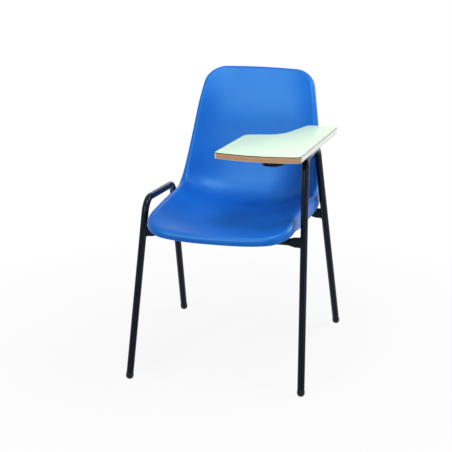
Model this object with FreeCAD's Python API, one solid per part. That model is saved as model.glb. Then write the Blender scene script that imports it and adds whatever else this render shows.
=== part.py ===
import FreeCAD, Part
import math
import os

# Stacking school chair with a writing tablet, all sizes in millimetres.
# X runs across the chair, with the tablet on the +X side, the chair faces -Y, and Z = 0 is the floor.
# The origin is on the floor, at the middle of the whole chair's width and depth.

os.makedirs("parts", exist_ok=True)
Vector = FreeCAD.Vector
UP = Vector(0, 0, 1)
ACROSS = Vector(1, 0, 0)
BACKWARD = Vector(0, 1, 0)

# General
overrun = 5.0                  # how far a cutting tool runs past the piece it cuts

# Side frames, one bent round tube each
tube_radius = 10.5
tube_wall = 1.5
foot_half_width = 257.0        # from the middle to a leg's axis at the floor
foot_half_depth = 296.5
foot_middle_back = -7.85       # the middle of the four feet, back from the origin
leg_lean_share = 0.043         # how far a side frame leans inward per unit of height
left_rail_front_height = 518.0     # of the corner where the front leg's axis meets the rail's
left_rail_drop = 30.0          # how much lower the rail's rear corner lies
right_rail_extra_height = 142.5    # front corner of the right rail above that of the left
right_rail_drop = 9.0
right_rail_front_reach = 136.7     # forward from the middle of the feet to the rail's front corner
right_rail_rear_reach = 39.2
rail_bend_radius = 46.0

left_rail_rear_height = left_rail_front_height - left_rail_drop
right_rail_front_height = left_rail_front_height + right_rail_extra_height
right_rail_rear_height = right_rail_front_height - right_rail_drop
# How far a front leg goes back, and a rear leg comes forward, per unit of height
front_rake_share = (foot_half_depth - right_rail_front_reach) / right_rail_front_height
rear_rake_share = (foot_half_depth - right_rail_rear_reach) / right_rail_rear_height

# Foot glides, plastic caps with a stem pressed into the tube
glide_radius = 11.3
glide_ball_height = 9.3        # height of the ball's centre, measured along the leg
glide_collar_height = 8.0
glide_stem_length = 22.0
glide_stem_clearance = 0.15

# Cross tubes under the seat, with squashed ends welded to the legs
cross_tube_radius = 10.0
cross_tube_wall = 1.5
front_cross_drop = 91.5        # below the left rail's front corner
rear_cross_drop = 9.0          # below the front cross tube
blade_half_height = 15.5
blade_half_thickness = 2.6
blade_wall = 2.0
blade_length = 7.0
squash_length = 34.0
squash_half_heights_share = [0.0, 0.10, 0.55, 0.93, 1.0]
squash_half_thicknesses_share = [0.0, 0.04, 0.45, 0.90, 1.0]
weld_reach = 2.6               # how far a weld spreads over both pieces that it joins
weld_grind_depth = 0.5         # how far the hoop's welds are ground back below the tops of the tubes

front_cross_height = left_rail_front_height - front_cross_drop
rear_cross_height = front_cross_height - rear_cross_drop

# Seat shell, one moulded sheet with a rolled rim and a turned-down flange
sheet_thickness = 4.5
seat_length = 447.0            # along the centre line, from the front edge to the middle of the seat bend
back_length = 400.0            # from there to the top edge
seat_bend_back = 150.9         # the middle of the seat bend, back from the origin
seat_bend_rise = 27.86         # and above the axis of the front cross tube
front_heading_degrees = 5.6    # slope of the centre line before its bends
# Bends of the centre line, from the front edge up: the lip, the seat bend, the lumbar bend, the head bend
lip_bend_length = 100.0
main_bend_length = 174.0
lumbar_bend_length = 200.0
head_bend_length = 140.0
lumbar_bend_distance = 173.0   # between the middles of the seat bend and of this one
head_bend_distance = 286.5
bend_turns_degrees = [-9.3, 74.8, 8.9, -17.4]
line_steps = 1200
small_share = 1e-4             # step used to measure the sheet's slope
line_overrun_share = 0.1       # the centre line is worked out a little past both ends of the sheet
flat_across_share = 0.06       # middle stretch of each cross-section that stays level
width_stations_share = [0.0, 0.12, 0.35, 0.55, 0.75, 1.0]
half_widths = [193.0, 190.0, 194.5, 197.0, 187.5, 154.0]
rise_stations_share = [0.0, 0.12, 0.35, 0.52, 0.66, 0.82, 1.0]
side_rises = [14.0, 35.5, 42.5, 45.0, 37.0, 18.0, 16.0]
steepness_stations_share = [0.0, 0.5, 0.65, 1.0]
side_steepness_share = [0.6, 0.6, 0.6, 0.8]
front_bow = 7.0
top_bow = 7.5
top_bow_start_share = 0.6
front_corner_radius = 52.0
top_corner_radius = 46.0
roll_stations_share = [0.0, 0.5, 0.7, 1.0]
roll_radii = [16.0, 16.0, 10.0, 10.0]
flange_stations_share = [0.0, 0.06, 0.2, 0.45, 0.6, 0.75, 1.0]
flange_depths = [8.5, 12.0, 29.0, 30.0, 15.0, 5.0, 3.0]
sheet_middle_share = 0.649     # the rings of the sheet's grid close in on this share of the seat's length
middle_ring_share = 0.05
ring_spacing_power = 0.85      # below one, the rings lie closer together towards the rim
rings_inside = 30
rings_on_roll = 8
rings_on_flange = 4
columns_front = 6
columns_corner = 9
columns_side = 32
columns_top = 5
search_steps = 40

sheet_length = seat_length + back_length
sheet_middle_station = seat_length * sheet_middle_share
bend_lengths = [lip_bend_length, main_bend_length, lumbar_bend_length, head_bend_length]
bend_stations = [0.0, seat_length, seat_length + lumbar_bend_distance, seat_length + head_bend_distance]

# Moulded posts under the seat that stand on the cross tubes, and their screws
post_radius = 13.0
post_half_spacing = 95.0
post_tube_clearance = 0.3
screw_radius = 2.5
screw_thread_depth = 13.0      # how far a screw goes into its post
screw_head_radius = 4.8
screw_head_height = 3.2
screw_bore_clearance = 0.4
screw_recess_width = 1.1
screw_recess_length = 4.6
screw_recess_depth = 1.4
crown_share = 0.35             # rounding of a screw head's edge, as a share of its radius
washer_radius = 7.5
washer_thickness = 1.6

# Writing tablet: core, two laminates and two edge bands
board_thickness = 18.0
laminate_thickness = 1.4
band_thickness = 2.0
# How far the board reaches from the rail: out and inward from its axis, forward and back from its middle
board_outer_reach = 34.0
board_inner_reach = 243.0
board_front_reach = 226.0
board_rear_reach = 267.0
# Corners of the board seen from above, each as shares of the reaches: out (or inward), back (or forward)
board_corner_shares = [
    (0.353, -1.0),
    (1.0, 0.903),
    (-0.247, 1.0),
    (-0.448, 0.393),
    (-0.901, 0.36),
    (-1.0, -0.788),
    (-0.527, -0.991),
]
board_corner_radii = [16.0, 9.0, 18.0, 66.0, 20.0, 6.0, 450.0]
board_left_corner = 5          # place in the list of the left front corner
band_joint_distance = 5.0      # from the left front corner to the front band's joint with the side band
band_wrap_distance = 18.0      # how far the front band reaches back round the right front corner

# Hoop under the tablet, a bent tube welded to the rail
hoop_tube_radius = 8.0
hoop_tube_wall = 1.5
hoop_bend_radius = 23.0
hoop_root_radius = 20.0        # of the two bends next to the rail
hoop_near_reach = 50.0         # inward from the rail's axis to the axis of the nearer run
hoop_far_reach = 102.0
hoop_front_reach = 187.0       # forward from the rail's middle
hoop_front_root_back = -14.0   # where the hoop's two ends meet the rail
hoop_rear_root_back = 22.0

# Plates between the tubes and the tablet, and the screws that go up through them
plate_thickness = 2.0
plate_corner_radius = 6.0
rail_plate_width = 52.0
rail_plate_length = 26.0
rail_plate_overhang = 8.0      # how far a rail plate reaches past the rail's axis on its outer side
rail_plate_places = {"front_rail_plate": -44.0, "rear_rail_plate": 48.0}
hoop_plate_width = 76.0
hoop_plate_length = 30.0
hoop_plate_back = -120.0
board_screw_radius = 2.0
board_screw_depth = 12.0
board_screw_spacing = 18.0
board_screw_head_radius = 4.0
board_screw_head_height = 2.4


def export(name, shape):
    shape.exportStep("parts/" + name + ".step")
    print(name, len(shape.Solids), "solids", round(shape.Volume), "mm3", shape.isValid())


# Curves shared by several pieces

def smooth_step(share):
    share = min(max(share, 0.0), 1.0)
    return share * share * (3.0 - 2.0 * share)


def through(stations, values, place):
    """Value at a place on the smooth curve that runs through the stations without overshooting."""
    gaps = [b - a for a, b in zip(stations, stations[1:])]
    slopes = [(b - a) / gap for a, b, gap in zip(values, values[1:], gaps)]
    tangents = [slopes[0]]
    for before, after in zip(slopes, slopes[1:]):
        tangents.append(0.0 if before * after <= 0 else 2.0 * before * after / (before + after))
    tangents.append(slopes[-1])
    k = max(i for i in range(len(gaps)) if i == 0 or place >= stations[i])
    t = (place - stations[k]) / gaps[k]
    start = values[k] * (1 + 2 * t) * (1 - t) ** 2 + tangents[k] * gaps[k] * t * (1 - t) ** 2
    end = values[k + 1] * t * t * (3 - 2 * t) + tangents[k + 1] * gaps[k] * t * t * (t - 1)
    return start + end


def rounded_path(corners, radii, closed=False):
    """Wire of straight runs and tangent arcs; each corner has its own radius, and zero leaves it sharp."""
    count = len(corners)
    entries, exits, middles = [], [], []
    for i in range(count):
        here, radius = corners[i], radii[i]
        if radius == 0:
            entries.append(here)
            exits.append(here)
            middles.append(None)
            continue
        to_last = (corners[i - 1] - here).normalize()
        to_next = (corners[(i + 1) % count] - here).normalize()
        half_angle = to_last.getAngle(to_next) / 2
        reach = radius / math.tan(half_angle)
        bisector = (to_last + to_next).normalize()
        entries.append(here + to_last * reach)
        exits.append(here + to_next * reach)
        middles.append(here + bisector * (radius / math.sin(half_angle) - radius))
    edges = []
    for i in range(count):
        if middles[i] is not None:
            edges.append(Part.Arc(entries[i], middles[i], exits[i]).toShape())
        if closed or i + 1 < count:
            edges.append(Part.LineSegment(exits[i], entries[(i + 1) % count]).toShape())
    return Part.Wire(edges)


def bent_rod(path, radius):
    """Solid round rod along a wire of runs and arcs."""
    start = path.Edges[0]
    section = Part.Wire([Part.Circle(start.valueAt(start.FirstParameter),
                                     start.tangentAt(start.FirstParameter), radius).toShape()])
    return path.makePipeShell([section], True, False)


def bent_tube(path, radius, wall):
    return bent_rod(path, radius).cut(bent_rod(path, radius - wall))


def rod(start, end, radius):
    run = end - start
    return Part.makeCylinder(radius, run.Length, start, run)


# Legs and side frames

def leg_point(side, end, height):
    """Point of a leg's axis; side is 1 on the right, and end is 1 at the rear."""
    out = foot_half_width - leg_lean_share * height
    rake_share = front_rake_share if end < 0 else rear_rake_share
    back = foot_middle_back + end * (foot_half_depth - rake_share * height)
    return Vector(side * out, back, height)


def leg_direction(side, end):
    return (leg_point(side, end, left_rail_rear_height) - leg_point(side, end, 0)).normalize()


def tube_foot(side, end):
    """Where a leg's tube ends, on top of its glide's collar."""
    return leg_point(side, end, 0) + leg_direction(side, end) * (glide_ball_height + glide_collar_height)


def side_frame(side, front_height, rear_height):
    corners = [tube_foot(side, -1), leg_point(side, -1, front_height),
               leg_point(side, 1, rear_height), tube_foot(side, 1)]
    path = rounded_path(corners, [0, rail_bend_radius, rail_bend_radius, 0])
    return bent_tube(path, tube_radius, tube_wall)


def foot_glide(side, end):
    axis = leg_direction(side, end)
    floor_point = leg_point(side, end, 0)
    ball_centre = floor_point + axis * glide_ball_height
    collar_top = tube_foot(side, end)
    stem_radius = tube_radius - tube_wall - glide_stem_clearance
    body = Part.makeSphere(glide_radius, ball_centre)
    body = body.fuse(rod(ball_centre, collar_top, glide_radius))
    above_collar = rod(collar_top, collar_top + axis * glide_radius * 2, glide_radius * 2)
    body = body.cut(above_collar)
    body = body.fuse(rod(collar_top, collar_top + axis * glide_stem_length, stem_radius))
    below_floor = Part.makeBox(glide_radius * 4, glide_radius * 4, glide_radius * 2,
                               floor_point - Vector(glide_radius * 2, glide_radius * 2, glide_radius * 2))
    return body.cut(below_floor).removeSplitter()


# Cross tubes

def oval(centre, half_height, half_thickness):
    """Closed section square to X, taller than it is thick."""
    if half_height == half_thickness:
        return Part.Wire([Part.Circle(centre, ACROSS, half_height).toShape()])
    top = centre + UP * half_height
    side = centre + BACKWARD * half_thickness
    return Part.Wire([Part.Ellipse(top, side, centre).toShape()])


def squashed_end(direction, start, radius, half_height, half_thickness, blade_end):
    """Rod that goes over from a round section to a flat blade, and runs on to the blade's end."""
    sections = []
    steps = len(squash_half_heights_share) - 1
    shares = zip(squash_half_heights_share, squash_half_thicknesses_share)
    for i, (tall_share, thin_share) in enumerate(shares):
        centre = start + direction * (squash_length * i / steps)
        tall = radius + (half_height - radius) * tall_share
        thin = radius + (half_thickness - radius) * thin_share
        sections.append(oval(centre, tall, thin))
    taper = Part.makeLoft(sections, True, False)
    last = oval(start + direction * squash_length, half_height, half_thickness)
    blade = Part.Face(last).extrude(blade_end - start - direction * squash_length)
    return taper.fuse(blade)


def cross_tube(end, height):
    """Tube from leg to leg, with blades that meet the legs' inner sides."""
    right_leg = leg_point(1, end, height)
    centre = Vector(0, right_leg.y, height)
    reach = right_leg.x
    squash_start = reach - tube_radius - blade_length - squash_length
    outer = rod(centre - ACROSS * squash_start, centre + ACROSS * squash_start, cross_tube_radius)
    bore_radius = cross_tube_radius - cross_tube_wall
    inner = rod(centre - ACROSS * squash_start, centre + ACROSS * squash_start, bore_radius)
    for side in (-1, 1):
        direction = ACROSS * side
        start = centre + direction * squash_start
        stop = centre + direction * reach
        outer = outer.fuse(squashed_end(direction, start, cross_tube_radius,
                                        blade_half_height, blade_half_thickness, stop))
        inner = inner.fuse(squashed_end(direction, start, bore_radius,
                                        blade_half_height - blade_wall, blade_half_thickness - blade_wall,
                                        stop))
    tube = outer.cut(inner)
    for side in (-1, 1):
        tube = tube.cut(leg_rod(side, end, height, tube_radius))
        tube = tube.cut(rod(post_foot(side, end) - UP * (cross_tube_radius * 2 + overrun),
                            post_foot(side, end) + UP * overrun,
                            screw_radius + screw_bore_clearance))
    return tube.removeSplitter()


def leg_rod(side, end, height, radius):
    """Solid stretch of a leg around a given height, used to cope what is welded to it."""
    axis = leg_direction(side, end)
    middle = leg_point(side, end, height)
    return rod(middle - axis * squash_length, middle + axis * squash_length, radius)


def weld(first, second, fat_first, fat_second):
    """The fillet of metal that lies within a weld's reach of both pieces."""
    return fat_first.common(fat_second).cut([first, second])


def cross_tube_welds():
    beads = []
    for end, height in ((-1, front_cross_height), (1, rear_cross_height)):
        for side in (-1, 1):
            leg = leg_point(side, end, height)
            inward = Vector(-side * (tube_radius + blade_length), 0, 0)
            blade = Part.Face(oval(leg, blade_half_height, blade_half_thickness)).extrude(inward)
            fat_section = oval(leg, blade_half_height + weld_reach, blade_half_thickness + weld_reach)
            fat_blade = Part.Face(fat_section).extrude(inward)
            beads.append(weld(leg_rod(side, end, height, tube_radius), blade,
                              leg_rod(side, end, height, tube_radius + weld_reach), fat_blade))
    return Part.makeCompound([bead.Solids[0] for bead in beads])


# Seat shell

def centre_line():
    """Points and headings of the sheet's centre line: the heading turns smoothly through each bend."""
    first = -line_overrun_share * sheet_length
    step = (sheet_length - 2 * first) / line_steps
    headings, backs, heights = [], [0.0], [0.0]
    for i in range(line_steps + 1):
        station = first + step * i
        turn = sum(bend_turn * smooth_step((station - (middle - spread / 2)) / spread)
                   for middle, spread, bend_turn in zip(bend_stations, bend_lengths, bend_turns_degrees))
        headings.append(math.radians(front_heading_degrees + turn))
    for a, b in zip(headings, headings[1:]):
        backs.append(backs[-1] + (math.cos(a) + math.cos(b)) / 2 * step)
        heights.append(heights[-1] + (math.sin(a) + math.sin(b)) / 2 * step)
    line = {"first": first, "step": step, "headings": headings, "backs": backs, "heights": heights}
    anchor = on_centre_line(line, seat_length)
    seat_bend_height = front_cross_height + seat_bend_rise
    line["backs"] = [back - anchor[0] + seat_bend_back for back in backs]
    line["heights"] = [height - anchor[1] + seat_bend_height for height in heights]
    return line


def on_centre_line(line, station):
    """How far back, how high and at what heading the centre line is at a station."""
    place = (station - line["first"]) / line["step"]
    k = min(max(int(place), 0), len(line["backs"]) - 2)
    t = place - k
    return [line[key][k] * (1 - t) + line[key][k + 1] * t for key in ("backs", "heights", "headings")]


def sheet_point(line, station, across):
    """Point of the sheet's upper side; across runs from -1 to 1 between the side edges."""
    back, height, heading = on_centre_line(line, station)
    share = station / sheet_length
    half_width = through(width_stations_share, half_widths, share)
    side_rise = through(rise_stations_share, side_rises, share)
    steep_share = through(steepness_stations_share, side_steepness_share, share)
    t = max(abs(across) - flat_across_share, 0.0) / (1 - flat_across_share)
    rise = side_rise * (t * t * (1 - steep_share) + t ** 4 * steep_share)
    return Vector(across * half_width, back - rise * math.sin(heading), height + rise * math.cos(heading))


def sheet_normal(line, station, across):
    """Direction square to the sheet, towards the sitter."""
    small = sheet_length * small_share
    along = sheet_point(line, station + small, across) - sheet_point(line, station - small, across)
    right, left = [sheet_point(line, station, across + step) for step in (small_share, -small_share)]
    return (right - left).cross(along).normalize()


def rim_outline():
    """Right half of the sheet's edge, from front middle to top middle, as stations and places across."""
    front_share = front_corner_radius / half_widths[0]
    top_share = top_corner_radius / half_widths[-1]
    outline = []
    for i in range(columns_front):
        outline.append((0.0, (1 - front_share) * i / columns_front))
    for i in range(columns_corner):
        angle = math.pi / 2 * i / columns_corner
        outline.append((front_corner_radius * (1 - math.cos(angle)),
                        1 - front_share + front_share * math.sin(angle)))
    side_start = front_corner_radius
    side_end = sheet_length - top_corner_radius
    for i in range(columns_side):
        outline.append((side_start + (side_end - side_start) * i / columns_side, 1.0))
    for i in range(columns_corner):
        angle = math.pi / 2 * i / columns_corner
        outline.append((side_end + top_corner_radius * math.sin(angle),
                        1 - top_share + top_share * math.cos(angle)))
    for i in range(columns_top + 1):
        outline.append((sheet_length, (1 - top_share) * (1 - i / columns_top)))
    bowed = []
    for station, across in outline:
        near_front = smooth_step(1 - station / (sheet_length / 2))
        near_top = smooth_step((station / sheet_length - top_bow_start_share) / (1 - top_bow_start_share))
        bowed.append((station + (near_front * front_bow - near_top * top_bow) * across ** 2, across))
    return bowed


def shell_grids():
    """Rings of points on the upper and under side of the right half, from the middle out over the rim."""
    line = centre_line()
    outline = rim_outline()
    edge_points = [sheet_point(line, station, across) for station, across in outline]
    upper = []
    under = []
    for i in range(rings_inside + 1):
        grow = i / rings_inside
        share = middle_ring_share + (1 - middle_ring_share) * grow ** ring_spacing_power
        upper_ring, under_ring = [], []
        for station, across in outline:
            place = (sheet_middle_station + (station - sheet_middle_station) * share, across * share)
            point = sheet_point(line, *place)
            upper_ring.append(point)
            under_ring.append(point - sheet_normal(line, *place) * sheet_thickness)
        upper.append(upper_ring)
        under.append(under_ring)
    rolls = []
    for j, (station, across) in enumerate(outline):
        normal = sheet_normal(line, station, across)
        if 0 < j < len(outline) - 1:
            along_rim = edge_points[j + 1] - edge_points[j - 1]
        else:
            along_rim = ACROSS if j == 0 else ACROSS * -1
        outward = along_rim.cross(normal).normalize()
        heading = on_centre_line(line, station)[2]
        downward = Vector(0, math.sin(heading), -math.cos(heading))
        turn = math.atan2(-downward.dot(normal), downward.dot(outward))
        share = station / sheet_length
        rolls.append((edge_points[j], normal, outward, turn,
                      through(roll_stations_share, roll_radii, share),
                      through(flange_stations_share, flange_depths, share)))
    for i in range(1, rings_on_roll + rings_on_flange + 1):
        upper_ring, under_ring = [], []
        for edge, normal, outward, turn, radius, depth in rolls:
            angle = turn * min(i / rings_on_roll, 1.0)
            facing = outward * math.sin(angle) + normal * math.cos(angle)
            heading = outward * math.cos(angle) - normal * math.sin(angle)
            point = edge + outward * (radius * math.sin(angle)) - normal * (radius * (1 - math.cos(angle)))
            point = point + heading * (depth * max(i - rings_on_roll, 0) / rings_on_flange)
            upper_ring.append(point)
            under_ring.append(point - facing * sheet_thickness)
        upper.append(upper_ring)
        under.append(under_ring)
    return upper, under


def clamped_knots(count):
    """Even knots of a cubic spline with this many control points that starts and ends on the outer ones."""
    degree = 3
    knots = [float(k) for k in range(count - degree + 1)]
    repeats = [1] * len(knots)
    repeats[0] = repeats[-1] = degree + 1
    return repeats, knots


def smooth_surface(grid):
    """Cubic surface that a dense grid of points controls."""
    ring_repeats, ring_knots = clamped_knots(len(grid))
    column_repeats, column_knots = clamped_knots(len(grid[0]))
    surface = Part.BSplineSurface()
    surface.buildFromPolesMultsKnots(grid, ring_repeats, column_repeats, ring_knots, column_knots,
                                     False, False, 3, 3)
    return surface


def mirrored(shape):
    return shape.mirror(Vector(0, 0, 0), ACROSS)


def shell_sheet():
    """The closed sheet: smooth upper and under sides, joined by a narrow strip round the flange's edge."""
    faces = []
    edge_curves = []
    for grid in shell_grids():
        for ring in grid:
            for point in (ring[0], ring[-1]):
                point.x = 0.0
        surface = smooth_surface(grid)
        first, last, _, _ = surface.bounds()
        half = surface.toShape()
        middle = surface.uIso(first).toShape()
        rim = surface.uIso(last).toShape()
        faces += [half, mirrored(half), Part.Face(Part.Wire([middle, mirrored(middle)]))]
        edge_curves.append(rim)
    strip = Part.makeRuledSurface(edge_curves[0], edge_curves[1])
    faces += [strip, mirrored(strip)]
    skin = Part.makeShell(faces)
    skin.sewShape()
    solid = Part.Solid(skin)
    if solid.Volume < 0:
        solid.reverse()
    return solid


def post_foot(side, end):
    """Bottom of a seat post, on top of its cross tube."""
    height = front_cross_height if end < 0 else rear_cross_height
    return Vector(side * post_half_spacing, leg_point(1, end, height).y,
                  height + cross_tube_radius + post_tube_clearance)


def sheet_over(foot):
    """Point of the sheet's upper side straight above a foot, and the direction square to the sheet there."""
    line = centre_line()
    station = sheet_middle_station
    for _ in range(search_steps):
        across = foot.x / through(width_stations_share, half_widths, station / sheet_length)
        station += foot.y - sheet_point(line, station, across).y
    return sheet_point(line, station, across), sheet_normal(line, station, across)


def block_beyond(point, direction, size):
    """Block on the far side of a plane, used to trim a post to the slope of the sheet."""
    block = Part.makeBox(size, size, size, Vector(-size / 2, -size / 2, 0))
    block.Placement = FreeCAD.Placement(point, FreeCAD.Rotation(UP, direction))
    return block


def seat_shell():
    shell = shell_sheet()
    for end in (-1, 1):
        height = front_cross_height if end < 0 else rear_cross_height
        for side in (-1, 1):
            foot = post_foot(side, end)
            over, normal = sheet_over(foot)
            post = rod(foot - UP * cross_tube_radius, over + UP * post_radius, post_radius)
            post = post.cut(block_beyond(over - normal * (sheet_thickness / 2), normal, post_radius * 4))
            saddle = rod(Vector(foot.x - post_radius - overrun, foot.y, height),
                         Vector(foot.x + post_radius + overrun, foot.y, height),
                         cross_tube_radius + post_tube_clearance)
            below = Part.makeBox(post_radius * 4, post_radius * 4, cross_tube_radius * 4,
                                 Vector(foot.x - post_radius * 2, foot.y - post_radius * 2,
                                        height - cross_tube_radius * 4))
            post = post.cut(saddle).cut(below)
            shell = shell.fuse(post)
    for end in (-1, 1):
        for side in (-1, 1):
            foot = post_foot(side, end)
            pilot = rod(foot - UP * cross_tube_radius, foot + UP * screw_thread_depth, screw_radius)
            shell = shell.cut(pilot)
    return shell


def shell_screws():
    """Pan-head screws that go up through the cross tubes into the posts."""
    screws = []
    for end in (-1, 1):
        for side in (-1, 1):
            top = post_foot(side, end) + UP * screw_thread_depth
            seat = screw_seat(side, end)
            screw = rod(seat, top, screw_radius)
            screw = screw.fuse(pan_head(seat, UP * -1, screw_head_radius, screw_head_height))
            screws.append(screw.removeSplitter())
    return Part.makeCompound(screws)


def screw_seat(side, end):
    """Where a shell screw's head bears, under its washer."""
    foot = post_foot(side, end)
    drop = post_tube_clearance + cross_tube_radius * 2 + washer_thickness
    return foot - UP * drop


def pan_head(seat, direction, radius, height):
    """Round head that bulges away from its seat, with a cross recess."""
    head = rod(seat, seat + direction * height, radius)
    end = seat + direction * height
    far_edges = [edge for edge in head.Edges
                 if edge.Closed and (edge.CenterOfMass - end).Length < height / 2]
    head = head.makeFillet(radius * crown_share, far_edges)
    arm = Vector(direction.y, direction.z, direction.x).cross(direction).normalize()
    for along in (arm, arm.cross(direction)):
        across = along.cross(direction) * (screw_recess_width / 2)
        reach = along * screw_recess_length / 2
        corners = [end - reach - across, end + reach - across, end + reach + across, end - reach + across]
        slot = Part.Face(Part.makePolygon(corners + corners[:1])).extrude(direction * -screw_recess_depth)
        head = head.cut(slot)
    return head


def shell_washers():
    washers = []
    for end in (-1, 1):
        for side in (-1, 1):
            seat = screw_seat(side, end)
            disc = rod(seat, seat + UP * washer_thickness, washer_radius)
            washers.append(disc.cut(rod(seat - UP * overrun, seat + UP * (washer_thickness + overrun),
                                        screw_radius + screw_bore_clearance)))
    return Part.makeCompound(washers)


# Writing tablet

def tablet_frame():
    """Axes of the tablet: out from the rail, back along the rail, and up off the rail, with the origin
    on the rail's axis at the rail's middle."""
    front = leg_point(1, -1, right_rail_front_height)
    rear = leg_point(1, 1, right_rail_rear_height)
    back = (rear - front).normalize()
    out = Vector(1, 0, leg_lean_share).normalize()
    up = out.cross(back).normalize()
    return (front + rear) * 0.5, out, back, up


def on_tablet(out_distance, back_distance, lift):
    origin, out, back, up = tablet_frame()
    return origin + out * out_distance + back * back_distance + up * lift


def board_underside():
    return tube_radius + plate_thickness


def board_corner(out_share, back_share, lift):
    out = out_share * (board_outer_reach if out_share > 0 else board_inner_reach)
    back = back_share * (board_rear_reach if back_share > 0 else board_front_reach)
    return on_tablet(out, back, lift)


def board_outline(lift):
    corners = [board_corner(*shares, lift) for shares in board_corner_shares]
    return Part.Face(rounded_path(corners, board_corner_radii, closed=True))


def front_band_block(lift, height):
    """Block round the front band, from just inside the left front corner to just past the right one."""
    up = tablet_frame()[3]
    right = board_corner(*board_corner_shares[0], lift)
    left = board_corner(*board_corner_shares[board_left_corner], lift)
    along = (left - right).normalize()
    behind = along.cross(up).normalize()
    if behind.dot(tablet_frame()[2]) < 0:
        behind = behind * -1
    start = right - along * overrun
    stop = left - along * band_joint_distance
    corners = [start - behind * board_front_reach, stop - behind * board_front_reach,
               stop + behind * band_wrap_distance, start + behind * band_wrap_distance]
    return Part.Face(Part.makePolygon(corners + corners[:1])).extrude(up * height)


def board_layers():
    """The board's five pieces: bottom laminate, core, top laminate, side band and front band."""
    up = tablet_frame()[3]
    base = board_underside()
    core_base = base + laminate_thickness
    core_height = board_thickness - 2 * laminate_thickness
    bottom = board_outline(base).extrude(up * laminate_thickness)
    outline = board_outline(core_base)
    top = board_outline(core_base + core_height).extrude(up * laminate_thickness)
    core = outline.makeOffset2D(-band_thickness).extrude(up * core_height)
    ring = outline.extrude(up * core_height).cut(core)
    block = front_band_block(core_base, core_height)
    for place in board_screw_places():
        pilot = board_screw_rod(place, 0, board_screw_radius)
        bottom = bottom.cut(pilot)
        core = core.cut(pilot)
    return bottom, core, top, ring.cut(block), ring.common(block)


def hoop_path():
    """The hoop's path in the tablet's axes; its top lies level with the rail's."""
    lift = tube_radius - hoop_tube_radius
    places = [
        (0, hoop_front_root_back),
        (-hoop_near_reach, hoop_front_root_back),
        (-hoop_near_reach, -hoop_front_reach),
        (-hoop_far_reach, -hoop_front_reach),
        (-hoop_far_reach, hoop_rear_root_back),
        (0, hoop_rear_root_back),
    ]
    corners = [on_tablet(out, back, lift) for out, back in places]
    radii = [0, hoop_root_radius, hoop_bend_radius, hoop_bend_radius, hoop_root_radius, 0]
    return rounded_path(corners, radii)


def rail_rod(radius):
    start = leg_point(1, -1, right_rail_front_height)
    end = leg_point(1, 1, right_rail_rear_height)
    return rod(start, end, radius)


def support_hoop():
    return bent_tube(hoop_path(), hoop_tube_radius, hoop_tube_wall).cut(rail_rod(tube_radius))


def hoop_welds():
    """The beads are ground back below the tops of both tubes, so that the board lies flat over them."""
    path = hoop_path()
    beads = weld(rail_rod(tube_radius), bent_rod(path, hoop_tube_radius),
                 rail_rod(tube_radius + weld_reach), bent_rod(path, hoop_tube_radius + weld_reach))
    ground_off = on_tablet(0, 0, tube_radius - weld_grind_depth)
    beads = beads.cut(block_beyond(ground_off, tablet_frame()[3], hoop_far_reach))
    inner_side = [solid for solid in beads.Solids
                  if (solid.CenterOfMass - tablet_frame()[0]).dot(tablet_frame()[1]) < 0]
    return Part.makeCompound(inner_side)


def plate_sizes():
    """Name, middle, width out from the rail and length along it, for each mounting plate."""
    rail_middle = rail_plate_overhang - rail_plate_width / 2
    hoop_middle = -(hoop_near_reach + hoop_far_reach) / 2
    sizes = {name: (rail_middle, back, rail_plate_width, rail_plate_length)
             for name, back in rail_plate_places.items()}
    sizes["hoop_plate"] = (hoop_middle, hoop_plate_back, hoop_plate_width, hoop_plate_length)
    return sizes


def board_screw_places():
    """Two screws in each plate: inward of the rail, and between the hoop's two runs."""
    beside_rail = -(tube_radius + board_screw_head_radius * 2)
    places = []
    for back in rail_plate_places.values():
        places += [(beside_rail, back), (beside_rail - board_screw_spacing, back)]
    hoop_middle = plate_sizes()["hoop_plate"][0]
    for step in (-board_screw_spacing / 2, board_screw_spacing / 2):
        places.append((hoop_middle + step, hoop_plate_back))
    return places


def board_screw_rod(place, below, radius):
    low = on_tablet(place[0], place[1], tube_radius - below)
    high = on_tablet(place[0], place[1], board_underside() + board_screw_depth)
    return rod(low, high, radius)


def mounting_plate(out, back, width, length):
    corners = [on_tablet(out + width / 2 * i, back + length / 2 * j, tube_radius)
               for i, j in ((-1, -1), (1, -1), (1, 1), (-1, 1))]
    outline = Part.Face(rounded_path(corners, [plate_corner_radius] * 4, closed=True))
    plate = outline.extrude(tablet_frame()[3] * plate_thickness)
    for place in board_screw_places():
        plate = plate.cut(board_screw_rod(place, overrun, board_screw_radius + screw_bore_clearance))
    return plate


def board_screws():
    down = tablet_frame()[3] * -1
    screws = []
    for place in board_screw_places():
        seat = on_tablet(place[0], place[1], tube_radius)
        head = pan_head(seat, down, board_screw_head_radius, board_screw_head_height)
        screws.append(board_screw_rod(place, 0, board_screw_radius).fuse(head).removeSplitter())
    return Part.makeCompound(screws)


export("left_side_frame", side_frame(-1, left_rail_front_height, left_rail_rear_height))
export("right_side_frame", side_frame(1, right_rail_front_height, right_rail_rear_height))
export("front_cross_tube", cross_tube(-1, front_cross_height))
export("rear_cross_tube", cross_tube(1, rear_cross_height))
export("cross_tube_welds", cross_tube_welds())
for end_name, end in (("front", -1), ("rear", 1)):
    for side_name, side in (("left", -1), ("right", 1)):
        export(end_name + "_" + side_name + "_glide", foot_glide(side, end))
export("seat_shell", seat_shell())
export("shell_screws", shell_screws())
export("shell_washers", shell_washers())
layer_names = ("bottom_laminate", "core", "top_laminate", "side_edge_band", "front_edge_band")
for layer_name, layer in zip(layer_names, board_layers()):
    export("tablet_" + layer_name, layer)
export("tablet_support_hoop", support_hoop())
export("hoop_welds", hoop_welds())
for plate_name, sizes in plate_sizes().items():
    export(plate_name, mounting_plate(*sizes))
export("tablet_screws", board_screws())
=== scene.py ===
import bmesh
import bpy
import numpy as np
from mathutils import Matrix


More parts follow.
